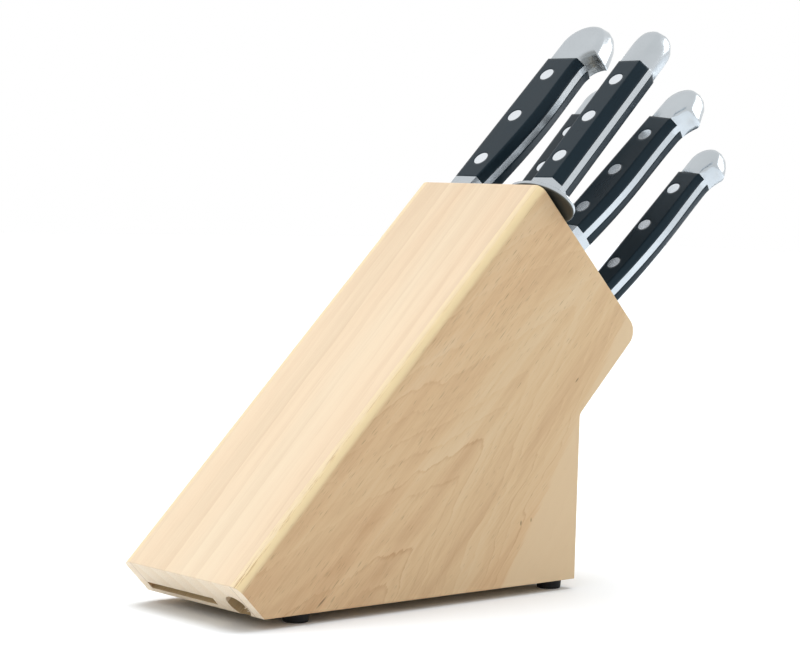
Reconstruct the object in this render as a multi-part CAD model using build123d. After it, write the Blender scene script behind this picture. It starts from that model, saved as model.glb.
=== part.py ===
from build123d import *
import os
from dataclasses import dataclass
from math import asin, cos, degrees, radians, sin

# Knife block glued up from beech boards, with four forged knives and a sharpening steel.
# +X runs from the toe towards the handles, +Y from the near cheek to the far cheek, +Z is up.
# The origin is the bottom centre of the whole outline. Lengths are in millimetres, angles in degrees.

# Overhang of the cutting boxes past what they cut, and how near an edge lies to count as at a height
margin = 1.0
edge_tolerance = 0.001

# Block outline, seen from the side
block_width = 86.0
slope_angle = 45.0
slope_length = 250.0
toe_height = 21.2
slot_face_height = 101.0
underside_length = 56.0
long_edge_radius = 4.8
back_corner_radius = 8.0
inner_corner_radius = 4.0
eased_edge_radius = 0.7

# Boards and slots, with depths measured square to the sloped face
cheek_thickness = 6.0
slot_height = 4.4
row_one_depth = 16.2
row_two_depth = 49.0
row_three_depth = 82.0
chef_slot_width = 49.5
divider_near_y = 0.5
divider_width = 3.5
bore_depth = 15.4
bore_diameter = 13.3
bore_wall = 0.6

# Rubber feet and their screws
foot_height = 5.0
foot_top_diameter = 12.4
foot_bottom_diameter = 11.4
foot_edge_radius = 0.6
front_foot_x = 25.6
back_foot_inset = 8.0
foot_side_inset = 10.0
screw_head_diameter = 5.4
screw_head_height = 1.6
screw_shank_diameter = 3.0
screw_length = 16.0
screw_recess = 1.0
screw_clearance = 0.05
screw_drive_share = 0.7

# Handles: tang, seat on the slot face and rivets
tang_thickness = 3.5
seat_gap = 0.2
blade_rest_gap = 0.3
rivet_head_depth = 2.4
rivet_shank_diameter = 4.4
rivet_clearance = 0.03
far_bevel_share = 0.3
near_bevel_share = 0.8
beak_bevel_share = 0.6
cheek_bevel_share = 0.5
beak_slope = 0.35
front_slope = 0.16
ramp_share = 0.6
pommel_rim_radius = 3.0
knob_side_radius = 6.0

# Blades
blade_thickness = 2.6
edge_thickness = 0.35
heel_gap = 0.8
neck_length = 7.0
tip_share = 0.985
tip_taper = 0.45
neck_root = 1.0
blade_stations = 7

# Sharpening steel
rod_diameter = 8.6
rod_length = 212.0
rod_tip_chamfer = 1.5
rod_end_gap = 0.22
mouth_share = 0.3
rod_stub_diameter = 6.0
rod_stub_length = 9.0
stub_clearance = 0.05
guard_gap = 1.8
guard_thickness = 2.6
guard_half_width = 21.2
guard_half_height = 14.0
guard_edge_radius = 0.9


@dataclass
class Knife:
    """One knife in its own plane: a along the handle, b towards the spine side from the spine edge."""

    name: str
    row_depth: float
    spine_y: float
    lean: float
    joint: float
    cap: float
    pommel_length: float
    half_thickness: float
    front_width: float
    belly_at: float
    belly_width: float
    waist_gap: float
    waist_width: float
    beak_gap: float
    beak_width: float
    apex: float
    cheek_gap: float
    cheek_width: float
    bevel: float
    front_bevel: float
    rivet_at: tuple
    rivet_in: float
    rivet_diameter: float
    blade_length: float
    blade_height: float
    spine_in: float
    tip_drop: float

    @property
    def end(self):
        return self.cap + self.pommel_length


CHEF = Knife(
    name="chef_knife", row_depth=row_one_depth, spine_y=36.0, lean=-0.6,
    joint=14.3, cap=103.0, pommel_length=27.9, half_thickness=7.1,
    front_width=14.2, belly_at=69.9, belly_width=23.4, waist_gap=4.5, waist_width=22.2,
    beak_gap=3.1, beak_width=33.2, apex=13.9, cheek_gap=16.0, cheek_width=29.3,
    bevel=2.4, front_bevel=0.6, rivet_at=(27.5, 59.4, 90.6), rivet_in=8.8, rivet_diameter=7.8,
    blade_length=210.0, blade_height=40.0, spine_in=2.2, tip_drop=0.42,
)
SLICER = Knife(
    name="slicing_knife", row_depth=row_two_depth, spine_y=33.3, lean=0.9,
    joint=13.1, cap=96.8, pommel_length=23.0, half_thickness=6.6,
    front_width=14.2, belly_at=46.7, belly_width=19.0, waist_gap=4.0, waist_width=17.0,
    beak_gap=7.0, beak_width=23.8, apex=11.0, cheek_gap=15.2, cheek_width=20.2,
    bevel=1.8, front_bevel=0.6, rivet_at=(30.2, 56.9, 83.5), rivet_in=7.5, rivet_diameter=7.3,
    blade_length=190.0, blade_height=21.0, spine_in=1.2, tip_drop=0.35,
)
UTILITY = Knife(
    name="utility_knife", row_depth=row_two_depth, spine_y=-10.5, lean=-6.6,
    joint=15.3, cap=94.0, pommel_length=23.6, half_thickness=6.6,
    front_width=14.3, belly_at=46.5, belly_width=19.1, waist_gap=4.0, waist_width=17.1,
    beak_gap=7.3, beak_width=23.9, apex=11.1, cheek_gap=15.6, cheek_width=20.4,
    bevel=1.8, front_bevel=0.6, rivet_at=(28.5, 55.4, 81.0), rivet_in=7.9, rivet_diameter=7.3,
    blade_length=130.0, blade_height=20.0, spine_in=1.0, tip_drop=0.35,
)
PARING = Knife(
    name="paring_knife", row_depth=row_three_depth, spine_y=-17.6, lean=-4.6,
    joint=6.8, cap=89.0, pommel_length=19.8, half_thickness=5.8,
    front_width=12.1, belly_at=54.2, belly_width=16.7, waist_gap=3.6, waist_width=15.7,
    beak_gap=7.2, beak_width=21.2, apex=9.5, cheek_gap=14.3, cheek_width=18.0,
    bevel=1.4, front_bevel=0.5, rivet_at=(23.0, 50.4, 77.0), rivet_in=5.9, rivet_diameter=6.9,
    blade_length=98.0, blade_height=16.2, spine_in=0.8, tip_drop=0.35,
)
KNIVES = (CHEF, SLICER, UTILITY, PARING)


@dataclass
class SteelHandle:
    """Handle of the sharpening steel, even about its own axis."""

    joint: float = 12.8
    cap: float = 97.4
    pommel_length: float = 25.5
    half_thickness: float = 7.5
    front_half_width: float = 8.9
    cap_half_width: float = 9.8
    round_length: float = 14.7
    bevel: float = 2.7
    rivet_at: tuple = (28.5, 56.8, 83.6)
    rivet_diameter: float = 7.5

    @property
    def end(self):
        return self.cap + self.pommel_length


STEEL = SteelHandle()

# Block profile corners as (x, z) from the toe's lower edge, in order round the outline
rise = sin(radians(slope_angle))
run = cos(radians(slope_angle))
toe_low = (0.0, foot_height)
toe_top = (-toe_height * rise, foot_height + toe_height * run)
slot_top = (toe_top[0] + slope_length * run, toe_top[1] + slope_length * rise)
slot_low = (slot_top[0] + slot_face_height * rise, slot_top[1] - slot_face_height * run)
inner_corner = (slot_low[0] - underside_length * run, slot_low[1] - underside_length * rise)
back_low = (inner_corner[0], foot_height)
profile = (toe_low, toe_top, slot_top, slot_low, inner_corner, back_low)

# Plane of the sloped face: x up the slope, y across the block, z outwards
slope = Plane(origin=(toe_top[0], 0, toe_top[1]), x_dir=(run, 0, rise), z_dir=(-rise, 0, run))
reach = 2 * (slope_length + slot_face_height)
half_width = block_width / 2
inner_y = half_width - cheek_thickness
bore_y = -inner_y + bore_wall + bore_diameter / 2
chef_slot_near_y = inner_y - chef_slot_width
divider_far_y = divider_near_y + divider_width

# The steel lies across its bore: its rod is past the middle at the mouth and near the other wall at its tip
rod_play = (bore_diameter - rod_diameter) / 2 - rod_end_gap
steel_y = bore_y + mouth_share * rod_play
steel_lean = degrees(asin((1 + mouth_share) * rod_play / rod_length))


def nearest_edge(shape, point):
    """The edge of a shape whose middle lies nearest to a point."""
    return min(shape.edges(), key=lambda edge: (edge.position_at(0.5) - Vector(*point)).length)


def block_blank():
    """The whole block as one outline, rounded as it is after glueing."""
    face = make_face(Polyline(*profile, close=True))
    blank = extrude(Plane.XZ * face, amount=half_width, both=True)
    blank = fillet(nearest_edge(blank, (slot_low[0], 0, slot_low[1])), back_corner_radius)
    blank = fillet(nearest_edge(blank, (inner_corner[0], 0, inner_corner[1])), inner_corner_radius)
    middle = slope.from_local_coords(Vector(slope_length / 2, 0, 0))
    for side in (-half_width, half_width):
        blank = fillet(nearest_edge(blank, (middle.X, side, middle.Z)), long_edge_radius)
    slot_face = blank.faces().sort_by(lambda face: slope.to_local_coords(face.center()).X)[-1]
    return fillet(slot_face.edges(), eased_edge_radius)


def layer(blank, top, bottom, near_y, far_y):
    """The part of the block between two depths under the slope and two places across it."""
    box = Box(reach, far_y - near_y, bottom - top)
    middle = Pos(slope_length / 2, (near_y + far_y) / 2, -(top + bottom) / 2)
    return blank & (slope * (middle * box))


def bore():
    """Round hole for the steel, beside the first row and parallel to the slope."""
    middle = Pos(slope_length / 2, bore_y, -bore_depth)
    return slope * (middle * Rot(0, 90, 0) * Cylinder(bore_diameter / 2, reach))


def row_span(depth):
    """Depths of the upper and lower wall of a row's slots."""
    return depth - slot_height / 2, depth + slot_height / 2


def block_pieces():
    """Boards, spacers and cheeks of the block by node name."""
    blank = block_blank()
    one_top, one_low = row_span(row_one_depth)
    two_top, two_low = row_span(row_two_depth)
    three_top, three_low = row_span(row_three_depth)
    hole = bore()
    lip = layer(blank, one_top, one_low, -inner_y, bore_y)
    pieces = {
        "near_cheek": layer(blank, -reach, reach, -half_width - margin, -inner_y),
        "far_cheek": layer(blank, -reach, reach, inner_y, half_width + margin),
        "top_board": layer(blank, -reach, one_top, -inner_y, inner_y) - hole,
        "row_one_spacer": layer(blank, one_top, one_low, bore_y, chef_slot_near_y) - hole,
        "second_board": layer(blank, one_low, two_top, -inner_y, inner_y) + lip - hole,
        "row_two_divider": layer(blank, two_top, two_low, divider_near_y, divider_far_y),
        "third_board": layer(blank, two_low, three_top, -inner_y, inner_y),
        "row_three_spacer": layer(blank, three_top, three_low, divider_near_y, inner_y),
        "base_board": layer(blank, three_low, slot_face_height, -inner_y, inner_y),
        "base_wedge": layer(blank, slot_face_height, reach, -inner_y, inner_y),
    }
    for x, y in foot_places().values():
        pilot = Pos(x, y, foot_height) * Cylinder(
            screw_shank_diameter / 2 + screw_clearance, 2 * screw_length
        )
        board = "second_board" if x == front_foot_x else "base_wedge"
        pieces[board] = pieces[board] - pilot
    return pieces


def foot_places():
    """Centre of each foot on the block's underside."""
    back_x = back_low[0] - back_foot_inset
    side = half_width - foot_side_inset
    return {
        "foot_near_front": (front_foot_x, -side),
        "foot_far_front": (front_foot_x, side),
        "foot_near_back": (back_x, -side),
        "foot_far_back": (back_x, side),
    }


def foot():
    """Tapered rubber foot, open below for its screw, standing on the plane z = 0."""
    body = Pos(0, 0, foot_height / 2) * Cone(foot_bottom_diameter / 2, foot_top_diameter / 2, foot_height)
    body = fillet(body.edges().sort_by(Axis.Z)[0], foot_edge_radius)
    recess_height = screw_recess + screw_head_height
    recess = Cylinder(screw_head_diameter / 2 + screw_clearance, 2 * recess_height)
    hole = Cylinder(screw_shank_diameter / 2 + screw_clearance, 4 * foot_height)
    return body - recess - hole


def foot_screw():
    """Pan-head screw that holds a foot, with its head in the foot's recess."""
    radius = screw_head_diameter / 2
    head_middle = screw_recess + screw_head_height / 2
    head = Pos(0, 0, head_middle) * Cylinder(radius, screw_head_height)
    slot_length = screw_head_diameter * screw_drive_share
    drive = Pos(0, 0, screw_recess) * Box(slot_length, screw_head_height / 3, screw_head_height)
    cross = Rot(0, 0, 90) * drive
    shank = Pos(0, 0, head_middle + screw_length / 2) * Cylinder(screw_shank_diameter / 2, screw_length)
    shank = chamfer(shank.edges().sort_by(Axis.Z)[-1], screw_shank_diameter / 3)
    return head + shank - drive - cross


def knife_plane(row_depth, spine_y, lean, seat_width):
    """Plane of a handle: origin over the slot face, x along the handle, z out of the slope.

    A handle that leans to the near side is lifted until the corner of its seat clears the face.
    """
    lift = max(0.0, seat_width * sin(radians(-lean)))
    origin = slope.from_local_coords(Vector(slope_length + lift, spine_y, -row_depth))
    along = slope.x_dir * cos(radians(lean)) + Vector(0, 1, 0) * sin(radians(lean))
    return Plane(origin=origin, x_dir=along, z_dir=slope.z_dir)


def handle_outline(knife, level):
    """Outline of a knife handle: at the tang for level 0 and on the rivet face for level 1."""
    bevel = knife.bevel * level
    far = -bevel * far_bevel_share
    end = knife.end - bevel
    shoulder = knife.apex + far
    front = (seat_gap, -knife.front_width + knife.front_bevel * level)
    belly = (knife.belly_at, -knife.belly_width + bevel)
    near = bevel * near_bevel_share
    waist = (knife.cap - knife.waist_gap, -knife.waist_width + near)
    beak = (knife.cap + knife.beak_gap + bevel * beak_bevel_share, -knife.beak_width + near)
    cheek = (knife.cap + knife.cheek_gap - bevel * cheek_bevel_share, -knife.cheek_width + near)
    straight = Line((seat_gap, far), (end - shoulder, far))
    turn = cos(radians(45)) * shoulder
    crown = ThreePointArc(straight @ 1, (end - shoulder + turn, -knife.apex + turn), (end, -knife.apex))
    flank = Spline(crown @ 1, cheek, beak, tangents=[(0, -1), (-1, -beak_slope)])
    throat = TangentArc(waist, beak, tangent=(1, 0))
    underside = Spline(waist, belly, front, tangents=[(-1, 0), (-1, front_slope)])
    nose = Line(front, straight @ 0)
    return make_face([straight, crown, flank, throat, underside, nose])


def steel_outline(level):
    """Outline of the steel's handle: at the tang for level 0 and on the rivet face for level 1."""
    bevel = STEEL.bevel * level
    start = guard_gap + guard_thickness
    front = STEEL.front_half_width - bevel
    back = STEEL.cap_half_width - bevel
    shoulder = STEEL.end - STEEL.round_length
    left = Line((start, front), (shoulder, back))
    right = Line((shoulder, -back), (start, -front))
    crown = Spline(left @ 1, (STEEL.end - bevel, 0), right @ 0, tangents=[left % 1, right % 0])
    nose = Line(right @ 1, left @ 0)
    return make_face([left, crown, right, nose])


def faceted_half(outline, half_thickness):
    """Upper half of a handle: the tang outline rising with sloped sides to the rivet face."""
    low = Pos(0, 0, tang_thickness / 2) * outline(0)
    high = Pos(0, 0, half_thickness) * outline(1)
    return loft([low, high], ruled=True)


def span(start, stop, half_thickness):
    """Block of space between two places along a handle."""
    middle = Pos((start + stop) / 2, 0, 0)
    return middle * Box(stop - start, 2 * block_width, 4 * half_thickness)


def end_edges(body, level, start):
    """Edges of a handle at one height above and below its middle, past a place along it."""
    edges = body.edges().filter_by(lambda edge: abs(abs(edge.center().Z) - level) < edge_tolerance)
    return edges.filter_by(lambda edge: edge.center().X > start)


def pommel(half, slab, handle, round_from):
    """Solid pommel past the scales, its end rounded over to both rivet faces."""
    top = handle.half_thickness
    space = span(handle.cap, handle.end + margin, top)
    upper = half & space
    body = (slab & space) + upper + mirror(upper, Plane.XY)
    return fillet(end_edges(body, top, round_from), pommel_rim_radius)


def bolster_ramp(knife):
    """Side profile that thins the bolster towards its seat on the slot face."""
    seat_half = slot_height / 2 + tang_thickness / 2
    ramp_end = knife.joint * ramp_share
    top = knife.half_thickness
    far = 2 * knife.end
    arc = TangentArc((ramp_end, top), (seat_gap, seat_half), tangent=(-1, 0))
    lines = [
        arc,
        Line((seat_gap, seat_half), (seat_gap, 0)),
        Line((seat_gap, 0), (far, 0)),
        Line((far, 0), (far, top)),
        Line((far, top), (ramp_end, top)),
    ]
    return extrude(Plane.XZ * make_face(lines), amount=block_width, both=True)


def rivet(diameter, half_thickness):
    """Handle rivet: two flush heads on one shank, through both scales and the tang."""
    head = diameter / 2
    shank = rivet_shank_diameter / 2
    neck = half_thickness - rivet_head_depth
    corners = [(0, 0), (shank, 0), (shank, neck), (head, neck), (head, half_thickness), (0, half_thickness)]
    half = Polyline(*corners, close=True)
    upper = revolve(Plane.XZ * make_face(half), Axis.Z)
    return upper + mirror(upper, Plane.XY)


def rivet_hole(diameter, half_thickness):
    """Stepped hole that a rivet fills, with its clearance."""
    head = diameter / 2 + rivet_clearance
    neck = half_thickness - rivet_head_depth - rivet_clearance
    shank = Cylinder(rivet_shank_diameter / 2 + rivet_clearance, 4 * half_thickness)
    wide = Pos(0, 0, neck + half_thickness) * Cylinder(head, 2 * half_thickness)
    return shank + wide


def blade(knife):
    """Ground blade: sections that taper from spine to edge, carried along the blade's length."""
    sections = []
    for i in range(blade_stations):
        t = tip_share * i / (blade_stations - 1)
        spine = -knife.spine_in - knife.tip_drop * knife.blade_height * t**3
        edge = -knife.spine_in - knife.blade_height * (1 - (1 - knife.tip_drop) * t**4)
        thick = blade_thickness * (1 - tip_taper * t) / 2
        thin = edge_thickness / 2
        section = Polyline((spine, thick), (edge, thin), (edge, -thin), (spine, -thick), close=True)
        place = Plane(origin=(-heel_gap - knife.blade_length * t, 0, 0), x_dir=(0, 1, 0), z_dir=(1, 0, 0))
        sections.append(place * make_face(section))
    return loft(sections)


def neck(knife):
    """Short root that joins the bolster to the blade through the mouth of the slot."""
    width = knife.front_width - 2 * knife.spine_in
    length = neck_length + heel_gap
    middle = Pos(length / 2 - heel_gap - neck_root, -knife.spine_in - width / 2, 0)
    return middle * Box(length, width, blade_thickness)


def knife_pieces(knife):
    """Forging, scales and rivets of one knife, in its own plane."""
    top = knife.half_thickness
    half = faceted_half(lambda level: handle_outline(knife, level), top) & bolster_ramp(knife)
    scale = half & span(knife.joint, knife.cap, top)
    front = half & span(seat_gap - margin, knife.joint, top)
    slab = extrude(handle_outline(knife, 0), amount=tang_thickness / 2, both=True)
    tang = slab & span(seat_gap - margin, knife.cap, top)
    forging = tang + front + mirror(front, Plane.XY)
    forging = forging + pommel(half, slab, knife, knife.cap + knife.beak_gap)
    forging = forging + neck(knife) + blade(knife)
    places = [Pos(a, -knife.rivet_in, 0) for a in knife.rivet_at]
    holes = [place * rivet_hole(knife.rivet_diameter, top) for place in places]
    for hole in holes:
        scale = scale - hole
        forging = forging - hole
    return {
        f"{knife.name}_forging": forging,
        f"{knife.name}_upper_scale": scale,
        f"{knife.name}_lower_scale": mirror(scale, Plane.XY),
        f"{knife.name}_rivets": Compound([place * rivet(knife.rivet_diameter, top) for place in places]),
    }


def steel_pieces():
    """Rod, guard, tang, scales and rivets of the sharpening steel, in its own plane."""
    top = STEEL.half_thickness
    start = guard_gap + guard_thickness
    half = faceted_half(steel_outline, top)
    scale = half & span(STEEL.joint, STEEL.cap, top)
    front = half & span(start, STEEL.joint, top)
    slab = extrude(steel_outline(0), amount=tang_thickness / 2, both=True)
    socket = Pos(start, 0, 0) * Rot(0, 90, 0) * Cylinder(
        rod_stub_diameter / 2 + stub_clearance, 2 * (rod_stub_length - guard_thickness + stub_clearance)
    )
    tang = (slab & span(start - margin, STEEL.cap, top)) + front + mirror(front, Plane.XY)
    knob = pommel(half, slab, STEEL, STEEL.cap + pommel_rim_radius)
    knob = fillet(end_edges(knob, tang_thickness / 2, STEEL.cap + pommel_rim_radius), knob_side_radius)
    tang = tang + knob - socket
    plate = extrude(Plane.YZ * Ellipse(guard_half_width, guard_half_height), amount=guard_thickness)
    plate = fillet(plate.edges(), guard_edge_radius)
    eye = Rot(0, 90, 0) * Cylinder(rod_stub_diameter / 2 + stub_clearance, 4 * guard_thickness)
    guard = Pos(guard_gap, 0, 0) * (plate - eye)
    rod = Pos(guard_gap, 0, 0) * Rot(0, -90, 0) * Cylinder(
        rod_diameter / 2, rod_length + guard_gap, align=(Align.CENTER, Align.CENTER, Align.MIN)
    )
    rod = chamfer(rod.edges().sort_by(Axis.X)[0], rod_tip_chamfer)
    stub = Pos(guard_gap, 0, 0) * Rot(0, 90, 0) * Cylinder(
        rod_stub_diameter / 2, rod_stub_length, align=(Align.CENTER, Align.CENTER, Align.MIN)
    )
    places = [Pos(a, 0, 0) for a in STEEL.rivet_at]
    for place in places:
        hole = place * rivet_hole(STEEL.rivet_diameter, top)
        scale = scale - hole
        tang = tang - hole
    return {
        "steel_rod": rod + stub,
        "steel_guard": guard,
        "steel_tang": tang,
        "steel_upper_scale": scale,
        "steel_lower_scale": mirror(scale, Plane.XY),
        "steel_rivets": Compound([place * rivet(STEEL.rivet_diameter, top) for place in places]),
    }


def assemble():
    """Every node in the block's frame, with the origin moved to the bottom centre of the outline."""
    nodes = block_pieces()
    for name, (x, y) in foot_places().items():
        nodes[name] = Pos(x, y, 0) * foot()
    nodes["foot_screws"] = Compound([Pos(x, y, 0) * foot_screw() for x, y in foot_places().values()])
    rest_drop = slot_height / 2 - blade_thickness / 2 - blade_rest_gap
    for knife in KNIVES:
        plane = knife_plane(knife.row_depth + rest_drop, knife.spine_y, knife.lean, knife.front_width)
        for name, shape in knife_pieces(knife).items():
            nodes[name] = plane * shape
    plane = knife_plane(bore_depth, steel_y, steel_lean, guard_half_width)
    for name, shape in steel_pieces().items():
        nodes[name] = plane * shape
    box = Compound(list(nodes.values())).bounding_box()
    centre = box.center()
    return {name: Pos(-centre.X, -centre.Y, -box.min.Z) * shape for name, shape in nodes.items()}


def main():
    """Write one STEP file for each node."""
    os.makedirs("parts", exist_ok=True)
    for name, shape in assemble().items():
        export_step(shape, f"parts/{name}.step")


if __name__ == "__main__":
    main()
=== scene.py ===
import math
from dataclasses import dataclass, replace
from typing import NamedTuple

import bmesh
import bpy
import numpy as np
from mathutils import Matrix, Vector


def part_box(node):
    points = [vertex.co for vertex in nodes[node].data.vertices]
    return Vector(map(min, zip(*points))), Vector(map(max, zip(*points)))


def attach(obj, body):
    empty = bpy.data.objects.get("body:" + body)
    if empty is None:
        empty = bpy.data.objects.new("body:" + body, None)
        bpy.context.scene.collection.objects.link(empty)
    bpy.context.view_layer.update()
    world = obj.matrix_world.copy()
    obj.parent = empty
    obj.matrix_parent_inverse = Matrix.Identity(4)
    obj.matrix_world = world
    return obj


# Knife block in beech with forged knives and a sharpening steel, on a pale studio floor.
# Lengths are in metres in the CAD frame, angles in degrees.

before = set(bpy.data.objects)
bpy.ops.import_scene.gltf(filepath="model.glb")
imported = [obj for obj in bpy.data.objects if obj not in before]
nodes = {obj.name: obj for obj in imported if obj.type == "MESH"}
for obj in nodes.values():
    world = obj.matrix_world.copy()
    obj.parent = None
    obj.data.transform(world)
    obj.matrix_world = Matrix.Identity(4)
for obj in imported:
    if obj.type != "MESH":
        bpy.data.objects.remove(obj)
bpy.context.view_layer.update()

# Block: angle of its sloped face, and height of its toe along the toe's own face
SLOPE = 45.0
TILT = math.radians(SLOPE)
TOE_HEIGHT = 0.0212

# Wood frame: x up the grain from the toe's upper edge, y across from the block's middle, z out of the slope,
# with the block's half width and the thickness of its cheeks
near_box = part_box("near_cheek")
far_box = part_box("far_cheek")
BLOCK_MIDDLE = (near_box[0][1] + far_box[1][1]) / 2
HALF_WIDTH = (far_box[1][1] - near_box[0][1]) / 2
CHEEK_THICKNESS = near_box[1][1] - near_box[0][1]
TOE_X = near_box[0][0]
TOE_Z = near_box[0][2] + TOE_HEIGHT * math.cos(TILT)

# Camera of the photo, fitted to the block's outline: place from the toe's upper edge, turn, focal length
CAMERA_FROM_TOE = (-0.59392, -0.80302, 0.17218)
CAMERA_YAW = 41.934
CAMERA_PITCH = 3.578
CAMERA_ROLL = -1.683
FOCAL_PIXELS = 2269.85
PHOTO_WIDTH = 800.0
SENSOR_WIDTH = 36.0

# Bore of the sharpening steel: from the block's middle, under the slope, and its radius
BORE_Y = -0.02975
BORE_DEPTH = 0.0154
BORE_RADIUS = 0.00665

# Fibres torn at the bore's mouth: the seed of their draws, how many, and the points along and round each
SPLINTER_SEED = 7
SPLINTER_COUNT = 10
SPLINTER_ROWS = 8
SPLINTER_SIDES = 8

# Where they stand: the arc of the bore's wall, how far each strays on it, its root's depth in the wall, and
# the least and most inset up the bore
SPLINTER_ARC = (-18.0, 60.0)
SPLINTER_STRAY = 3.0
SPLINTER_ROOT = 0.0004
SPLINTER_INSET = (0.0008, 0.0032)

# Their form: least and most length and width, flatness of the profile, taper to the tip, and the shares of
# their reach by which they go inwards, sideways and out at the toe
SPLINTER_LENGTH = (0.0018, 0.0042)
SPLINTER_WIDTH = (0.0006, 0.0014)
SPLINTER_FLAT = 0.45
SPLINTER_TAPER = 0.97
SPLINTER_INWARD = 0.8
SPLINTER_SWAY = 0.6
SPLINTER_CURL = 0.55

# Ripple of their width: its share of the width, its rate along the fibre and its shift with the sway
RIPPLE_SHARE = 0.25
RIPPLE_RATE = 9.0
RIPPLE_SHIFT = 5.0

# Studio dome: its bright side, its level away from and towards that side, and its colour
KEY_SIDE = (-0.55, 0.32, 0.77)
DOME_LOW = 0.30
DOME_HIGH = 0.70
PLAIN_WHITE = (1.0, 1.0, 1.0, 1.0)

# Lamps: the broad one overhead by its side of the sky, spread and power, and the square one at the right by
# its place, size, power and the height that it aims at
OVERHEAD_SIDE = (0.10, 0.18, 0.97)
OVERHEAD_SPREAD = 52.0
OVERHEAD_POWER = 2.05
WINDOW_PLACE = (1.30, -0.50, 0.80)
WINDOW_SIZE = 0.80
WINDOW_POWER = 7.0
WINDOW_AIM = 0.15

# Floor: its half width, and its colour for scattered light and where it is seen, bluer against the tan bounce
FLOOR_HALF = 6.0
FLOOR_BOUNCE = (0.90, 0.90, 0.90, 1.0)
FLOOR_WHITE = (1.01, 1.05, 1.09, 1.0)


class Ramp(NamedTuple):
    """A stretch of values, what its two ends become, and whether it eases in and out."""

    low: float
    high: float
    first: float = 0.0
    last: float = 1.0
    smooth: bool = False


class Pattern(NamedTuple):
    """Noise drawn out along the fibre: its rates per metre along and across it, detail and roughness."""

    along: float
    across: float
    detail: float = 2.0
    rough: float = 0.5


# Most of a noise's values lie in the middle span, and nearly all in the wide one
NOISE_MIDDLE = (0.3, 0.7)
NOISE_WIDE = (0.2, 0.8)


class Graph:
    """One shader tree, with short calls to add its nodes."""

    # Places of the share, the two colours and the mixed colour among the Mix node's sockets
    MIX_INPUTS = (0, 6, 7)
    MIX_OUTPUT = 2

    def __init__(self, tree):
        self.tree = tree
        tree.nodes.clear()

    def add(self, kind, out=0, settings=None, **sockets):
        """Add a node, set its sockets by name and give back one output, or the node where out is None."""
        node = self.tree.nodes.new("ShaderNode" + kind)
        for key, value in (settings or {}).items():
            setattr(node, key, value)
        for key, value in sockets.items():
            self.feed(node.inputs[key.replace("_", " ")], value)
        return node.outputs[out] if out is not None else node

    def feed(self, socket, value):
        """Link an output to a socket, or set the socket's value."""
        if isinstance(value, bpy.types.NodeSocket):
            self.tree.links.new(value, socket)
        else:
            socket.default_value = value

    def feed_all(self, node, values):
        """Feed a node's sockets in their order."""
        for socket, value in zip(node.inputs, values):
            self.feed(socket, value)

    def math(self, operation, first, second=0.0, third=0.0):
        """A number worked out from up to three others."""
        node = self.add("Math", out=None, settings={"operation": operation})
        self.feed_all(node, (first, second, third))
        return node.outputs[0]

    def chain(self, operation, first, *others):
        """One operation carried through a row of numbers."""
        for value in others:
            first = self.math(operation, first, value)
        return first

    def centred(self, value):
        """A value of 0 to 1 moved to lie about 0."""
        return self.math("SUBTRACT", value, 0.5)

    def measure(self, operation, first, second=(0.0, 0.0, 0.0)):
        """A number worked out from vectors: a length or a dot product."""
        node = self.add("VectorMath", out=None, settings={"operation": operation})
        self.feed_all(node, (first, second))
        return node.outputs["Value"]

    def mix(self, share, first, second, blend="MIX"):
        """Blend two colours."""
        node = self.add("Mix", out=None, settings={"data_type": "RGBA", "blend_type": blend})
        for index, value in zip(self.MIX_INPUTS, (share, first, second)):
            self.feed(node.inputs[index], value)
        return node.outputs[self.MIX_OUTPUT]

    def remap(self, value, low, high, first=0.0, last=1.0, smooth=False):
        """Carry a stretch of values over to another, held at both ends."""
        easing = "SMOOTHSTEP" if smooth else "LINEAR"
        node = self.add("MapRange", out=None, settings={"interpolation_type": easing})
        self.feed_all(node, (value, low, high, first, last))
        return node.outputs[0]

    def swing(self, noise, size):
        """Spread a noise evenly to both sides of 0."""
        return self.remap(noise, *NOISE_MIDDLE, -size, size)

    def place(self, vector, location=(0, 0, 0), rotation=(0, 0, 0), scale=(1, 1, 1)):
        """Move, turn or stretch coordinates."""
        return self.add("Mapping", Vector=vector, Location=location, Rotation=rotation, Scale=scale)

    def noise(self, vector, scale=1.0, detail=2.0, rough=0.5):
        """Soft noise of 0 to 1."""
        return self.add("TexNoise", Vector=vector, Scale=scale, Detail=detail, Roughness=rough)

    def pattern(self, vector, pattern):
        """Noise drawn out along the fibre."""
        rates = (pattern.along, pattern.across, pattern.across)
        return self.noise(self.place(vector, scale=rates), detail=pattern.detail, rough=pattern.rough)

    def join(self, x, y, z):
        """A vector from three numbers."""
        return self.add("CombineXYZ", X=x, Y=y, Z=z)

    def split(self, vector):
        """The three numbers of a vector."""
        return self.add("SeparateXYZ", out=None, Vector=vector).outputs[:]

    def object(self):
        """A point's place on its piece at rest."""
        return self.add("TexCoord", out="Object")

    def soften(self, radius, samples):
        """Normals that round a piece's edges."""
        return self.add("Bevel", settings={"samples": samples}, Radius=radius)

    def surface(self, **sockets):
        """Principled surface on the tree's output."""
        shader = self.add("BsdfPrincipled", **sockets)
        self.add("OutputMaterial", out=None, Surface=shader)


def material(name):
    """A new material with an empty tree."""
    made = bpy.data.materials.new(name)
    made.use_nodes = True
    return made, Graph(made.node_tree)


def paint(names, made):
    """Give every listed CAD node one material."""
    for name in names:
        mesh = nodes[name].data
        mesh.materials.clear()
        mesh.materials.append(made)


def rgb(red, green, blue):
    """Colour of the screen values 0 to 255 as linear light, by the standard curve of screens."""
    parts = [channel / 255 for channel in (red, green, blue)]
    linear = [p / 12.92 if p <= 0.04045 else ((p + 0.055) / 1.055) ** 2.4 for p in parts]
    return (*linear, 1.0)


def wood_frame(g):
    """Object coordinates in the wood frame."""
    moved = g.place(g.object(), location=(-TOE_X, -BLOCK_MIDDLE, -TOE_Z))
    return g.place(moved, rotation=(0, TILT, 0))


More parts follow.
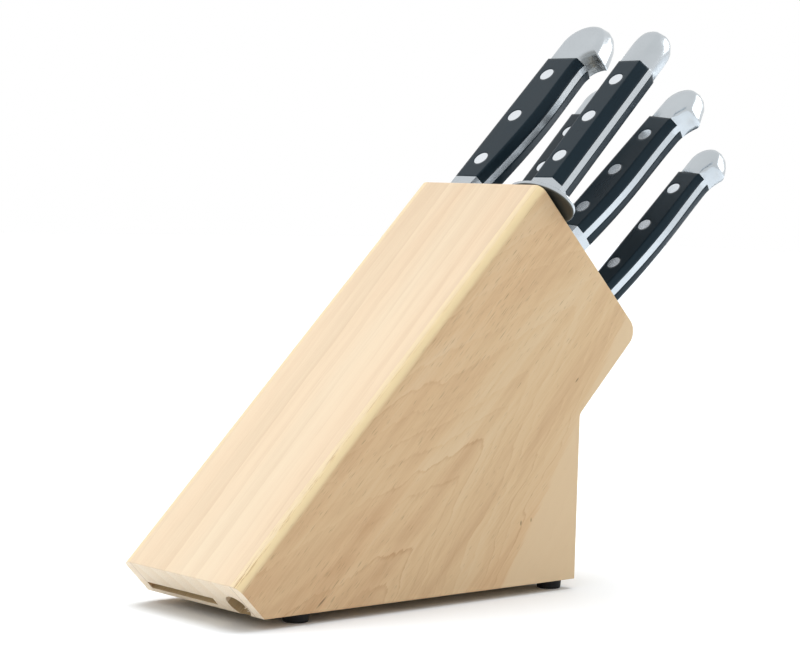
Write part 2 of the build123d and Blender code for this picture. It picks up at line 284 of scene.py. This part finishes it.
def facing(g):
    """The way a face looks, in the wood frame."""
    return g.place(g.add("NewGeometry", out="Normal"), rotation=(0, TILT, 0))


# Beech


@dataclass
class Tones:
    """Colours of one board: its own, its paler and deeper streaks, and its edge's painted light, if any."""

    mid: tuple
    pale: tuple
    deep: tuple
    edge: tuple = None


@dataclass
class Cut:
    """How a board was sawn and what shows on it.

    The pith line has its place at the toe and a drift per metre of grain, and each ring narrows up the grain
    by the taper. Rings lie a spacing apart, wander by the wave and fray by a share of the spacing. Distances
    from the pith count over times towards the slope and under times away from it. Lines, swell, streaks,
    contours and rays are strengths, ripe deepens the far end and foot deepens the toe end as painted shade.
    """

    pith_y: float
    pith_z: float
    drift: float = 0.0
    taper: float = 0.0
    spacing: float = 0.0046
    wave: float = 0.020
    fray: float = 0.25
    over: float = 1.0
    under: float = 1.0
    lines: float = 0.50
    swell: float = 0.08
    streaks: float = 0.25
    contours: float = 0.34
    rays: float = 0.55
    ripe: float = 0.0
    foot: float = 0.0


@dataclass
class Board:
    """One board: its colours, its cut, and the seed that sets its patterns apart from its neighbours'."""

    tones: Tones
    cut: Cut
    seed: float


@dataclass
class Flaw:
    """Short dark fleck in a board: its place, half sizes and turn from the grain."""

    along: float
    depth: float
    length: float
    width: float
    turn: float


class Rings(NamedTuple):
    """Growth rings at a point: distance from the pith, dark line, swell of colour and the ring's own tone."""

    radius: bpy.types.NodeSocket
    line: bpy.types.NodeSocket
    swell: bpy.types.NodeSocket
    tone: bpy.types.NodeSocket


class Grain:
    """Place of a board's point in the wood frame and in its patterns, and the way its face looks."""

    def __init__(self, g, seed):
        self.g = g
        self.seed = seed
        self.at = wood_frame(g)
        self.along, self.across, self.out = g.split(self.at)
        self.facing_along, _, self.facing_out = g.split(facing(g))
        self.shifted = g.place(self.at, location=[seed * step for step in SEED_STEPS])

    def pattern(self, pattern):
        """A pattern at this board's own place."""
        return self.g.pattern(self.shifted, pattern)


# Wood tones: cream for the sloped board, tan with a painted light golden edge for the cheeks, dull for the
# slots' walls
CREAM = Tones(mid=rgb(245, 225, 196), pale=rgb(249, 232, 203), deep=rgb(222, 195, 163))
TAN = Tones(mid=rgb(224, 195, 154), pale=rgb(232, 210, 175), deep=rgb(190, 146, 107), edge=rgb(255, 233, 185))
# Dull tones: darker beech, partly painted shade on the walls of the slots and the bore
DULL_SHADED = Tones(mid=rgb(196, 172, 132), pale=rgb(204, 182, 142), deep=rgb(160, 132, 94))

# Other colours of the wood: its sawn ends, what tints them and the boards, and its brown marks
GREY_END = rgb(252, 238, 216)
BLUSH_TINT = (1.0, 0.955, 0.93, 1.0)
END_RING_TINT = (0.88, 0.80, 0.68, 1.0)
RAY_BROWN = (0.26, 0.155, 0.085, 1.0)
FLAW_BROWN = (0.17, 0.10, 0.05, 1.0)
TORN_BROWN = (0.52, 0.31, 0.14, 1.0)
GLUE_BROWN = (0.20, 0.12, 0.06, 1.0)

# Patterns, and how far each unit of a seed moves them
SEED_STEPS = (0.37, 0.71, 0.53)
WAVE = Pattern(9, 26, detail=4.0, rough=0.6)
FRAY = Pattern(36, 760, detail=3.0, rough=0.65)
FADE = Pattern(14, 30)
STREAK = Pattern(2.4, 95, detail=4.0, rough=0.55)
FIBRE = Pattern(40, 1300)
BLUSH = Pattern(3.0, 40)
RAY_PATCH = Pattern(12, 34)
RAY_DASH = Pattern(130, 2100, detail=1.0)
TEAR = Pattern(70, 1300, detail=4.0, rough=0.7)
PORE = Pattern(300, 1500, detail=3.0, rough=0.7)

# Rings: rise of their colour and of the dark line at their end, drop to the next, and where lines fade
SWELL_RISE = Ramp(0.15, 0.97)
LINE_RISE = Ramp(0.80, 0.97, smooth=True)
RING_DROP = Ramp(1.0, 0.97)
LINE_TONE = Ramp(0.15, 0.9)
LINE_FADE = Ramp(0.38, 0.66, 0.05, 1.0, smooth=True)
LINE_ALONG = Ramp(0.12, 0.20, 1.0, 0.2)

# Figure: tone of a whole ring against its swell, streaks that follow the rings, fibres, the stretches at the
# two ends of a board (painted shade at the toe end), and how depth of colour and blush become shares of
# their tones
TONE_SHARE = 1.5
CONTOUR_ALONG = 5.0
CONTOUR_ACROSS = 150.0
CONTOUR_DETAIL = 3.0
FIBRE_SWING = 0.10
RIPE_STRETCH = (0.14, 0.25)
TOE_SHADE_STRETCH = (0.09, 0.0)
DEEP_SHADE = Ramp(0.0, 1.0)
PALE_SHADE = Ramp(0.0, -0.6)
BLUSH_SHARE = Ramp(0.40, 0.66, 0.0, 0.7)

# Dark rays: denser patches towards the slope, and the least and full value of a dash
RAY_DEPTH = Ramp(-0.10, -0.02, -0.06, 0.10)
RAY_LEAST = Ramp(0.36, 0.66, 0.73, 0.58)
RAY_FULL = 0.76

# Calm patch of the near cheek: its edge is this deep under the slope at the toe and rises along the grain
CALM_DEPTH = 0.1455
CALM_LEAN = -0.230
CALM_FRAY = -0.006
CALM_SHARE = Ramp(0.0006, -0.0016, 0.0, 0.75, smooth=True)
CALM_PALE = 0.8

# Flecks of the near cheek, and how their outline breaks up along the fibres
FLAWS = (
    Flaw(along=0.0260, depth=0.0408, length=0.0062, width=0.0008, turn=-4.0),
    Flaw(along=0.1310, depth=0.1094, length=0.0022, width=0.0008, turn=42.0),
    Flaw(along=0.1365, depth=0.1135, length=0.0018, width=0.0006, turn=42.0),
    Flaw(along=0.2036, depth=0.0868, length=0.0026, width=0.0006, turn=0.0),
)
FLAW_FRAY = 0.6
FLAW_SHARE = Ramp(1.1, 0.5, 0.0, 0.75, smooth=True)

# Rounded long edge by how far it faces out of the slope, and its torn lip, which is strongest at the toe
# The rounded edge's colours are painted light: brighter golden on the bend, the slope's cream where it faces
# up
PAINTED_EDGE_BEND = Ramp(0.05, 0.60, 0.0, 0.9, smooth=True)
PAINTED_EDGE_FLAT = Ramp(0.85, 1.00, 0.0, 0.6, smooth=True)
LIP_FACING = 0.90
LIP_WIDTH = Ramp(0.03, 0.16, 1.0, 0.0, smooth=True)
LIP_ALONG = Ramp(0.15, 0.02, 0.25, 1.0)
TORN_SHARE = Ramp(0.51, 0.62, 0.0, 0.7, smooth=True)
CHIP_SHARE = Ramp(0.47, 0.38, 0.0, 0.6, smooth=True)

# End grain by how far a face looks along the fibre, with its rings and pores, and the cheeks' glue line on it
SAWN_FACE = Ramp(0.75, 0.96, smooth=True)
END_RINGS = 0.35
PORE_SPECK = Ramp(0.35, 0.65, 0.92, 1.05)
GLUE_SHARE = Ramp(0.00010, 0.00030, 0.45, 0.0)

# Surface of the wood: heights of its dashes, fibres and pores, their bump, softened edges, and its gloss
DASH_HEIGHT = -0.8
FIBRE_HEIGHT = 0.5
PORE_HEIGHT = 1.2
BEECH_BUMP = {"Strength": 0.20, "Distance": 0.00025}
BEECH_SOFT = 0.0004
BEECH_SOFT_SAMPLES = 6
BEECH_ROUGH = (0.52, 0.66)
BEECH_SPECULAR = 0.25


def growth_rings(grain, cut, fray):
    """Growth rings as cones about the pith line, waved slowly and frayed finely along the fibre."""
    g = grain.g
    wave = g.centred(grain.pattern(WAVE))
    side = g.math("SUBTRACT", grain.across, g.math("MULTIPLY_ADD", grain.along, cut.drift, cut.pith_y))
    rise = g.math("MULTIPLY_ADD", wave, cut.wave, g.math("SUBTRACT", grain.out, cut.pith_z))
    below = g.math("MULTIPLY", g.math("MINIMUM", rise, 0.0), cut.under)
    rise = g.math("MULTIPLY_ADD", g.math("MAXIMUM", rise, 0.0), cut.over, below)
    radius = g.measure("LENGTH", g.join(0.0, side, rise))
    radius = g.math("MULTIPLY_ADD", grain.along, cut.taper, radius)
    radius = g.math("MULTIPLY_ADD", fray, cut.spacing * cut.fray, radius)

    count = g.math("DIVIDE", radius, cut.spacing)
    ring = g.math("FRACT", count)
    drop = g.remap(ring, *RING_DROP)
    tone = g.add("TexWhiteNoise", settings={"noise_dimensions": "1D"}, W=g.math("FLOOR", count))
    fade = g.remap(grain.pattern(FADE), *LINE_FADE)
    shown = g.chain("MULTIPLY", g.remap(tone, *LINE_TONE), fade, g.remap(grain.along, *LINE_ALONG))
    line = g.chain("MULTIPLY", g.remap(ring, *LINE_RISE), drop, shown)
    swell = g.math("MULTIPLY", g.remap(ring, *SWELL_RISE), drop)
    return Rings(radius, line, swell, tone)


def figure(grain, cut, rings, fibre):
    """Depth of colour of the rings, the streaks along grain and rings, the fibres and the board's ends."""
    g = grain.g
    follow = g.join(
        g.math("MULTIPLY", grain.along, CONTOUR_ALONG),
        g.math("MULTIPLY", rings.radius, CONTOUR_ACROSS),
        grain.seed,
    )
    return g.chain(
        "ADD",
        g.math("MULTIPLY", rings.line, cut.lines),
        g.math("MULTIPLY", rings.swell, cut.swell),
        g.math("MULTIPLY", g.centred(rings.tone), cut.swell * TONE_SHARE),
        g.swing(grain.pattern(STREAK), cut.streaks),
        g.swing(g.noise(follow, detail=CONTOUR_DETAIL), cut.contours),
        g.swing(fibre, FIBRE_SWING),
        g.remap(grain.along, *RIPE_STRETCH, 0.0, cut.ripe),
        # Painted shade: deeper colour towards the toe end
        g.remap(grain.along, *TOE_SHADE_STRETCH, 0.0, cut.foot),
    )


def ray_dashes(grain):
    """Short dark rays of beech, in patches that are denser towards the slope."""
    g = grain.g
    patch = g.math("ADD", grain.pattern(RAY_PATCH), g.remap(grain.out, *RAY_DEPTH))
    least = g.remap(patch, *RAY_LEAST)
    return g.remap(grain.pattern(RAY_DASH), least, RAY_FULL, smooth=True)


def calm_patch(grain, fray):
    """Share of the calm patch below the near cheek's lowest ring."""
    g = grain.g
    edge = g.math("MULTIPLY_ADD", fray, CALM_FRAY, CALM_DEPTH)
    edge = g.math("MULTIPLY_ADD", grain.along, CALM_LEAN, edge)
    return g.remap(g.math("ADD", grain.out, edge), *CALM_SHARE)


def flecks(grain, colour, fibre):
    """Dark flecks: ovals about their places, broken up along the fibres."""
    g = grain.g
    for flaw in FLAWS:
        spot = g.place(grain.at, location=(-flaw.along, 0.0, flaw.depth))
        spot = g.place(spot, rotation=(0.0, math.radians(flaw.turn), 0.0))
        spot = g.place(spot, scale=(1.0 / flaw.length, 0.0, 1.0 / flaw.width))
        away = g.math("MULTIPLY_ADD", fibre, FLAW_FRAY, g.measure("LENGTH", spot))
        colour = g.mix(g.remap(away, *FLAW_SHARE), colour, FLAW_BROWN)
    return colour


def painted_light_edge(grain, colour, edge):
    """Painted light on the rounded long edge: golden where it bends, cream where it lies with the slope."""
    g = grain.g
    colour = g.mix(g.remap(grain.facing_out, *PAINTED_EDGE_BEND), colour, edge)
    return g.mix(g.remap(grain.facing_out, *PAINTED_EDGE_FLAT), colour, CREAM.mid)


def torn_lip(grain, colour):
    """Torn fibres along the bend of the long edge: brown hollows and pale chips."""
    g = grain.g
    tear = grain.pattern(TEAR)
    lip = g.math("ABSOLUTE", g.math("SUBTRACT", grain.facing_out, LIP_FACING))
    lip = g.math("MULTIPLY", g.remap(lip, *LIP_WIDTH), g.remap(grain.along, *LIP_ALONG))
    for share, tint in ((TORN_SHARE, TORN_BROWN), (CHIP_SHARE, CREAM.pale)):
        colour = g.mix(g.math("MULTIPLY", g.remap(tear, *share), lip), colour, tint)
    return colour


def end_grain(grain, colour, sawn, swell, pore):
    """End grain: greyer, with pores in the rings and a brown glue line where a cheek meets the boards."""
    g = grain.g
    speck = g.remap(pore, *PORE_SPECK)
    grey = g.mix(g.math("MULTIPLY", swell, END_RINGS), GREY_END, END_RING_TINT, "MULTIPLY")
    grey = g.mix(1.0, grey, g.join(speck, speck, speck), "MULTIPLY")
    colour = g.mix(sawn, colour, grey)
    seam = g.math("SUBTRACT", g.math("ABSOLUTE", grain.across), HALF_WIDTH - CHEEK_THICKNESS)
    glue = g.remap(g.math("ABSOLUTE", seam), *GLUE_SHARE)
    return g.mix(g.math("MULTIPLY", glue, sawn), colour, GLUE_BROWN)


def beech(name, board, marked=False):
    """Beech as a solid, so that every face cuts the same rings.

    A marked board has the near cheek's own calm patch, flecks and torn edge.
    """
    made, g = material(name)
    grain = Grain(g, board.seed)
    tones, cut = board.tones, board.cut
    fray = g.centred(grain.pattern(FRAY))
    fibre = grain.pattern(FIBRE)
    pore = grain.pattern(PORE)
    dash = ray_dashes(grain)
    rings = growth_rings(grain, cut, fray)
    sawn = g.remap(g.math("ABSOLUTE", grain.facing_along), *SAWN_FACE)
    calm = calm_patch(grain, fray) if marked else 0.0
    lively = g.math("SUBTRACT", 1.0, calm)

    shade = g.math("MULTIPLY", figure(grain, cut, rings, fibre), lively)
    colour = g.mix(g.remap(shade, *DEEP_SHADE), tones.mid, tones.deep)
    colour = g.mix(g.remap(shade, *PALE_SHADE), colour, tones.pale)
    colour = g.mix(g.remap(grain.pattern(BLUSH), *BLUSH_SHARE), colour, BLUSH_TINT, "MULTIPLY")
    colour = g.mix(g.math("MULTIPLY", calm, CALM_PALE), colour, tones.pale)
    colour = g.mix(g.chain("MULTIPLY", dash, lively, cut.rays), colour, RAY_BROWN)
    if marked:
        colour = flecks(grain, colour, fibre)
    # Painted light on a cheek's rounded edge
    if tones.edge:
        colour = painted_light_edge(grain, colour, tones.edge)
    if marked:
        colour = torn_lip(grain, colour)
    colour = end_grain(grain, colour, sawn, rings.swell, pore)

    height = g.math("MULTIPLY_ADD", dash, DASH_HEIGHT, g.math("MULTIPLY", fibre, FIBRE_HEIGHT))
    height = g.math("MULTIPLY_ADD", g.math("MULTIPLY", pore, sawn), PORE_HEIGHT, height)
    soft = g.soften(BEECH_SOFT, BEECH_SOFT_SAMPLES)
    bump = g.add("Bump", Height=height, Normal=soft, **BEECH_BUMP)
    rough = g.remap(fibre, *NOISE_WIDE, *BEECH_ROUGH)
    g.surface(Base_Color=colour, Roughness=rough, Specular_IOR_Level=BEECH_SPECULAR, Normal=bump)
    return made


# Cuts: the sloped board lies far from its pith, so its rings run straight, and the cheeks close to theirs,
# so those rings peak
RIFT = Cut(
    pith_y=0.260,
    pith_z=-0.110,
    drift=0.04,
    spacing=0.0105,
    wave=0.012,
    fray=0.12,
    lines=0.24,
    swell=0.22,
    streaks=0.16,
    contours=0.16,
    rays=0.05,
    ripe=0.30,
)
FLAT = Cut(
    pith_y=-0.0406,
    pith_z=-0.064,
    taper=0.30,
    spacing=0.0064,
    wave=0.026,
    fray=0.42,
    over=0.66,
    under=1.3,
    lines=0.38,
    swell=0.10,
    streaks=0.27,
    contours=0.15,
    rays=0.50,
    # Painted shade deepening the toe end
    foot=0.20,
)
FAR_FLAT = replace(FLAT, pith_y=0.0380, pith_z=-0.080, over=0.7, under=1.1)
BOARDS = {
    "top_board": Board(CREAM, RIFT, seed=1.0),
    "near_cheek": Board(TAN, FLAT, seed=2.3),
    "far_cheek": Board(TAN, FAR_FLAT, seed=3.1),
    # Inner boards: dull tones, partly painted shade in the slots and the bore
    "second_board": Board(DULL_SHADED, Cut(pith_y=0.010, pith_z=-0.120, drift=0.02), seed=4.7),
    "third_board": Board(DULL_SHADED, Cut(pith_y=-0.020, pith_z=0.010, drift=0.02), seed=5.9),
    "base_board": Board(DULL_SHADED, Cut(pith_y=0.015, pith_z=-0.180), seed=6.2),
    "base_wedge": Board(DULL_SHADED, Cut(pith_y=0.0, pith_z=-0.200, drift=0.04), seed=7.4),
    "row_one_spacer": Board(DULL_SHADED, Cut(pith_y=0.020, pith_z=-0.060), seed=8.8),
    "row_two_divider": Board(DULL_SHADED, Cut(pith_y=0.030, pith_z=-0.090), seed=9.5),
    "row_three_spacer": Board(DULL_SHADED, Cut(pith_y=-0.020, pith_z=-0.120), seed=10.1),
}
for name, board in BOARDS.items():
    paint([name], beech("beech_" + name, board, marked=name == "near_cheek"))


# Steel


@dataclass
class Steel:
    """Finish of a steel piece: tint, roughness, radius that softens its edges, and share of painted shade."""

    tint: tuple
    rough: float
    soft: float
    painted_shade: float = 0.0


# Polish: its clouds, how far they darken and roughen, and the stretch about a start where edges grow soft
CLOUD_SCALE = 55.0
CLOUD_DETAIL = 3.0
CLOUD_TINT = 0.93
CLOUD_ROUGH = 0.05
SOFT_START = -0.001
SOFT_WHOLE = 0.002
STEEL_SOFT_SAMPLES = 16

# Painted shade: steel darkened and made duller where it faces down the grain towards the block
PAINTED_SHADE_TINT = (0.20, 0.19, 0.16, 1.0)
PAINTED_SHADE_FACING = (-0.15, -0.75)
PAINTED_SHADE_ROUGH = 0.35

# Finishes: satin forgings and guard, painted shade on the chef's knife and guard, brighter rivets, plainer
# rod and screws
SATIN = (0.53, 0.57, 0.60, 1.0)
FORGED = Steel(SATIN, rough=0.18, soft=0.0040)
CHEF = Steel(SATIN, rough=0.18, soft=0.0020, painted_shade=0.6)
GUARD = Steel(SATIN, rough=0.18, soft=0.0015, painted_shade=1.0)
RIVET = Steel((0.80, 0.84, 0.88, 1.0), rough=0.16, soft=0.0)
ROD = Steel((0.58, 0.60, 0.62, 1.0), rough=0.32, soft=0.0003)
SCREW = Steel((0.60, 0.61, 0.62, 1.0), rough=0.32, soft=0.0002)


def steel(name, finish, start=0.0):
    """Satin steel: slow clouds of polish, edges softened from a start up the grain, and any painted shade."""
    made, g = material(name)
    at = wood_frame(g)
    cloud = g.noise(at, CLOUD_SCALE, detail=CLOUD_DETAIL)
    worn = (*(channel * CLOUD_TINT for channel in finish.tint[:3]), 1.0)
    colour = g.mix(g.remap(cloud, *NOISE_MIDDLE), finish.tint, worn)
    rough = g.remap(cloud, *NOISE_WIDE, finish.rough, finish.rough + CLOUD_ROUGH)
    if finish.painted_shade:
        # Painted shade: darker, duller steel where it faces the block
        painted_shade_share = g.remap(g.split(facing(g))[0], *PAINTED_SHADE_FACING, 0.0, finish.painted_shade, smooth=True)
        colour = g.mix(painted_shade_share, colour, PAINTED_SHADE_TINT, "MULTIPLY")
        rough = g.math("MULTIPLY_ADD", painted_shade_share, PAINTED_SHADE_ROUGH, rough)
    radius = g.remap(g.split(at)[0], start + SOFT_START, start + SOFT_WHOLE, 0.0, finish.soft)
    soft = g.soften(radius, STEEL_SOFT_SAMPLES)
    g.surface(Base_Color=colour, Metallic=1.0, Roughness=rough, Normal=soft)
    return made


def pommel_start(handle):
    """Place up the grain where a handle's scales end and its pommel starts."""
    mesh = nodes[handle + "_upper_scale"].data
    points = np.empty(len(mesh.vertices) * 3)
    mesh.vertices.foreach_get("co", points)
    x, _, z = points.reshape(-1, 3).T
    return float(np.max((x - TOE_X) * math.cos(TILT) + (z - TOE_Z) * math.sin(TILT)))


KNIVES = {"slicing_knife": FORGED, "utility_knife": FORGED, "paring_knife": FORGED, "chef_knife": CHEF}
for knife, finish in KNIVES.items():
    paint([knife + "_forging"], steel(knife + "_steel", finish, pommel_start(knife)))
paint(["steel_tang"], steel("tang_steel", FORGED, pommel_start("steel")))
paint(["steel_guard"], steel("guard_steel", GUARD))
paint([name for name in nodes if name.endswith("_rivets")], steel("rivet_metal", RIVET))
paint(["steel_rod"], steel("rod_metal", ROD))
paint(["foot_screws"], steel("screw_metal", SCREW))


# Handle scales and feet

# Scales: their two blacks, blue sheen, clouds and wear, bump, softened edges and gloss
SCALE_DARK = (0.003, 0.010, 0.016, 1.0)
SCALE_LIGHT = (0.006, 0.016, 0.024, 1.0)
SCALE_SHEEN = (0.64, 0.84, 1.0, 1.0)
SCALE_CLOUD = Pattern(30, 60, detail=4.0)
SCALE_WEAR = Pattern(60, 2600)
SCALE_ROUGH = (0.24, 0.34)
SCALE_WEAR_ROUGH = 0.05
SCALE_BUMP = {"Strength": 0.03, "Distance": 0.0001}
SCALE_SOFT = 0.0018
SCALE_SOFT_SAMPLES = 8
SCALE_SPECULAR = 0.25

# Feet: their two blacks, moulded grain, bump and gloss
RUBBER_DARK = (0.010, 0.010, 0.011, 1.0)
RUBBER_LIGHT = (0.020, 0.020, 0.021, 1.0)
RUBBER_SCALE = 1800.0
RUBBER_DETAIL = 3.0
RUBBER_BUMP = {"Strength": 0.3, "Distance": 0.0001}
RUBBER_ROUGH = 0.75
RUBBER_SPECULAR = 0.3


def scale_black():
    """Black handle plastic: satin, with a faint cloudy sheen and fine wear lines along the grip."""
    made, g = material("scale_black")
    at = wood_frame(g)
    cloud = g.pattern(at, SCALE_CLOUD)
    wear = g.pattern(at, SCALE_WEAR)
    rough = g.math("MULTIPLY_ADD", wear, SCALE_WEAR_ROUGH, g.remap(cloud, *NOISE_MIDDLE, *SCALE_ROUGH))
    soft = g.soften(SCALE_SOFT, SCALE_SOFT_SAMPLES)
    g.surface(
        Base_Color=g.mix(cloud, SCALE_DARK, SCALE_LIGHT),
        Roughness=rough,
        Specular_IOR_Level=SCALE_SPECULAR,
        Specular_Tint=SCALE_SHEEN,
        Normal=g.add("Bump", Height=wear, Normal=soft, **SCALE_BUMP),
    )
    return made


def rubber_black():
    """Matt black rubber with a fine moulded grain."""
    made, g = material("rubber_black")
    grain = g.noise(g.object(), RUBBER_SCALE, detail=RUBBER_DETAIL)
    g.surface(
        Base_Color=g.mix(grain, RUBBER_DARK, RUBBER_LIGHT),
        Roughness=RUBBER_ROUGH,
        Specular_IOR_Level=RUBBER_SPECULAR,
        Normal=g.add("Bump", Height=grain, **RUBBER_BUMP),
    )
    return made


paint([name for name in nodes if name.endswith("_scale")], scale_black())
paint([name for name in nodes if name.startswith("foot_") and name != "foot_screws"], rubber_black())


# Torn fibres at the bore

# Their two creams, stripes along the grain and gloss
SPLINTER_DEEP = rgb(226, 200, 156)
SPLINTER_PALE = rgb(255, 246, 226)
SPLINTER_STRIPE = Pattern(120, 2400)
SPLINTER_ROUGH = 0.7
SPLINTER_SPECULAR = 0.2


def splinter_pale():
    """Torn beech fibre: cream, striped along the grain."""
    made, g = material("splinter_pale")
    stripe = g.remap(g.pattern(wood_frame(g), SPLINTER_STRIPE), *NOISE_MIDDLE)
    colour = g.mix(stripe, SPLINTER_DEEP, SPLINTER_PALE)
    g.surface(Base_Color=colour, Roughness=SPLINTER_ROUGH, Specular_IOR_Level=SPLINTER_SPECULAR)
    return made


def splinter_points():
    """Points of the torn fibres in the wood frame, by fibre, row and side.

    Each fibre is an oval profile carried along a path that leaves the bore's wall, bends towards the bore's
    middle and out at the toe, and shrinks to a point. Its place is an angle round the bore, from the near
    side down to the toe's lower edge.
    """
    draw = np.random.default_rng(SPLINTER_SEED)
    count = SPLINTER_COUNT
    turn = np.linspace(*SPLINTER_ARC, count) + draw.uniform(-SPLINTER_STRAY, SPLINTER_STRAY, count)
    turn = np.radians(turn)
    zero = np.zeros(count)
    inward = np.stack([zero, np.cos(turn), np.sin(turn)], axis=1)
    across = np.stack([zero, -np.sin(turn), np.cos(turn)], axis=1)
    grain = np.array([1.0, 0.0, 0.0])
    middle = np.array([0.0, BORE_Y, -BORE_DEPTH])
    root = middle - (BORE_RADIUS + SPLINTER_ROOT) * inward
    root = root + draw.uniform(*SPLINTER_INSET, (count, 1)) * grain
    length = draw.uniform(*SPLINTER_LENGTH, count)
    width = draw.uniform(*SPLINTER_WIDTH, count)
    sway = draw.uniform(-SPLINTER_SWAY, SPLINTER_SWAY, (count, 1))

    u = np.linspace(0.0, 1.0, SPLINTER_ROWS)[None, :, None]
    reach = length[:, None, None] * u
    lean = inward * SPLINTER_INWARD + across * sway
    path = root[:, None, :] + reach * lean[:, None, :] - reach * u * SPLINTER_CURL * grain
    ripple = 1.0 + RIPPLE_SHARE * np.sin(RIPPLE_RATE * u + RIPPLE_SHIFT * sway[:, None, :])
    girth = width[:, None, None] * ripple * np.sqrt(1.0 - SPLINTER_TAPER * u)
    v = np.linspace(0.0, 2.0 * np.pi, SPLINTER_SIDES, endpoint=False)
    profile = np.cos(v)[:, None] * across[:, None, :] + SPLINTER_FLAT * np.sin(v)[:, None] * grain
    return path[:, :, None, :] + girth[:, :, None, :] * profile[:, None, :, :]


def tube_faces(count, rows, sides):
    """Faces of closed tubes whose points run by tube, row and side: quads between rows, and both ends."""
    first = np.arange(count)[:, None] * rows * sides
    start = first[:, :, None] + np.arange(rows - 1)[None, :, None] * sides
    here = np.arange(sides)
    after = (here + 1) % sides
    corners = [start + here, start + after, start + sides + after, start + sides + here]
    quads = np.stack(corners, axis=-1).reshape(-1, 4)
    heads = first + (rows - 1) * sides + here
    feet = first + here[::-1]
    return quads.tolist() + heads.tolist() + feet.tolist()


def turn_faces_outwards(mesh):
    """Point every face of closed shells outwards and shade them smooth."""
    shells = bmesh.new()
    shells.from_mesh(mesh)
    bmesh.ops.recalc_face_normals(shells, faces=shells.faces)
    shells.to_mesh(mesh)
    shells.free()
    mesh.shade_smooth()


def bore_splinters():
    """Torn fibres in the mouth of the steel's bore, turned from the wood frame into the block's place."""
    along, side, out = splinter_points().reshape(-1, 3).T
    x = TOE_X + along * math.cos(TILT) - out * math.sin(TILT)
    z = TOE_Z + along * math.sin(TILT) + out * math.cos(TILT)
    points = np.stack([x, BLOCK_MIDDLE + side, z], axis=1)
    mesh = bpy.data.meshes.new("bore_splinters")
    mesh.from_pydata(points.tolist(), [], tube_faces(SPLINTER_COUNT, SPLINTER_ROWS, SPLINTER_SIDES))
    turn_faces_outwards(mesh)
    mesh.materials.append(splinter_pale())
    thing = bpy.data.objects.new("bore_splinters", mesh)
    bpy.context.collection.objects.link(thing)
    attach(thing, "block")


bore_splinters()


# Studio


def backdrop_rays(g):
    """One for rays that should find a white backdrop: from the camera, off metal or through glass."""
    rays = g.add("LightPath", out=None).outputs
    kinds = (rays[kind] for kind in ("Is Camera Ray", "Is Glossy Ray", "Is Transmission Ray"))
    return g.chain("MAXIMUM", *kinds)


def floor():
    """Pale floor that the camera sees as white, with soft contact shadows."""
    half = FLOOR_HALF
    corners = [(-half, -half, 0), (half, -half, 0), (half, half, 0), (-half, half, 0)]
    mesh = bpy.data.meshes.new("floor")
    mesh.from_pydata(corners, [], [(0, 1, 2, 3)])
    made, g = material("floor_white")
    colour = g.mix(backdrop_rays(g), FLOOR_BOUNCE, FLOOR_WHITE)
    g.add("OutputMaterial", out=None, Surface=g.add("BsdfDiffuse", Color=colour))
    mesh.materials.append(made)
    thing = bpy.data.objects.new("floor", mesh)
    bpy.context.collection.objects.link(thing)


def sky():
    """Studio dome: plain white where it is seen, its light stronger from above and from the upper left."""
    world = bpy.data.worlds.new("studio")
    bpy.context.scene.world = world
    world.use_nodes = True
    g = Graph(world.node_tree)
    lean = g.measure("DOT_PRODUCT", g.add("TexCoord", out="Generated"), Vector(KEY_SIDE).normalized())
    glow = g.remap(lean, 0.0, 1.0, DOME_LOW, DOME_HIGH, smooth=True)
    strength = g.math("MULTIPLY_ADD", backdrop_rays(g), g.math("SUBTRACT", 1.0, glow), glow)
    g.add("OutputWorld", out=None, Surface=g.add("Background", Color=PLAIN_WHITE, Strength=strength))


def overhead():
    """Broad lamp high above, as wide in the sky as its spread, for shadows with soft edges."""
    data = bpy.data.lights.new("overhead", "SUN")
    data.angle = math.radians(OVERHEAD_SPREAD)
    data.energy = OVERHEAD_POWER
    thing = bpy.data.objects.new("overhead", data)
    thing.matrix_world = Vector(OVERHEAD_SIDE).to_track_quat("Z", "Y").to_matrix().to_4x4()
    thing.visible_glossy = False
    bpy.context.collection.objects.link(thing)


def window_right():
    """Square lamp at the right that faces the block."""
    data = bpy.data.lights.new("window_right", "AREA")
    data.size = WINDOW_SIZE
    data.energy = WINDOW_POWER
    thing = bpy.data.objects.new("window_right", data)
    aim = Vector((0.0, BLOCK_MIDDLE, WINDOW_AIM)) - Vector(WINDOW_PLACE)
    turn = aim.to_track_quat("-Z", "Y").to_matrix().to_4x4()
    thing.matrix_world = Matrix.Translation(WINDOW_PLACE) @ turn
    thing.visible_camera = False
    bpy.context.collection.objects.link(thing)


def camera():
    """The photo's camera, from its fitted place, turn and focal length."""
    yaw, pitch, roll = (math.radians(angle) for angle in (CAMERA_YAW, CAMERA_PITCH, CAMERA_ROLL))
    level = math.cos(pitch)
    ahead = Vector((math.sin(yaw) * level, math.cos(yaw) * level, -math.sin(pitch)))
    right = Vector((math.cos(yaw), -math.sin(yaw), 0.0))
    down = ahead.cross(right)
    across = math.cos(roll) * right + math.sin(roll) * down
    below = -math.sin(roll) * right + math.cos(roll) * down
    data = bpy.data.cameras.new("camera")
    data.sensor_fit = "HORIZONTAL"
    data.sensor_width = SENSOR_WIDTH
    data.lens = FOCAL_PIXELS / PHOTO_WIDTH * SENSOR_WIDTH
    thing = bpy.data.objects.new("camera", data)
    turn = Matrix((across, -below, -ahead)).transposed()
    place = Vector((TOE_X, BLOCK_MIDDLE, TOE_Z)) + Vector(CAMERA_FROM_TOE)
    thing.matrix_world = Matrix.Translation(place) @ turn.to_4x4()
    bpy.context.collection.objects.link(thing)
    bpy.context.scene.camera = thing


floor()
sky()
overhead()
window_right()
camera()
bpy.context.scene.view_settings.view_transform = "Standard"
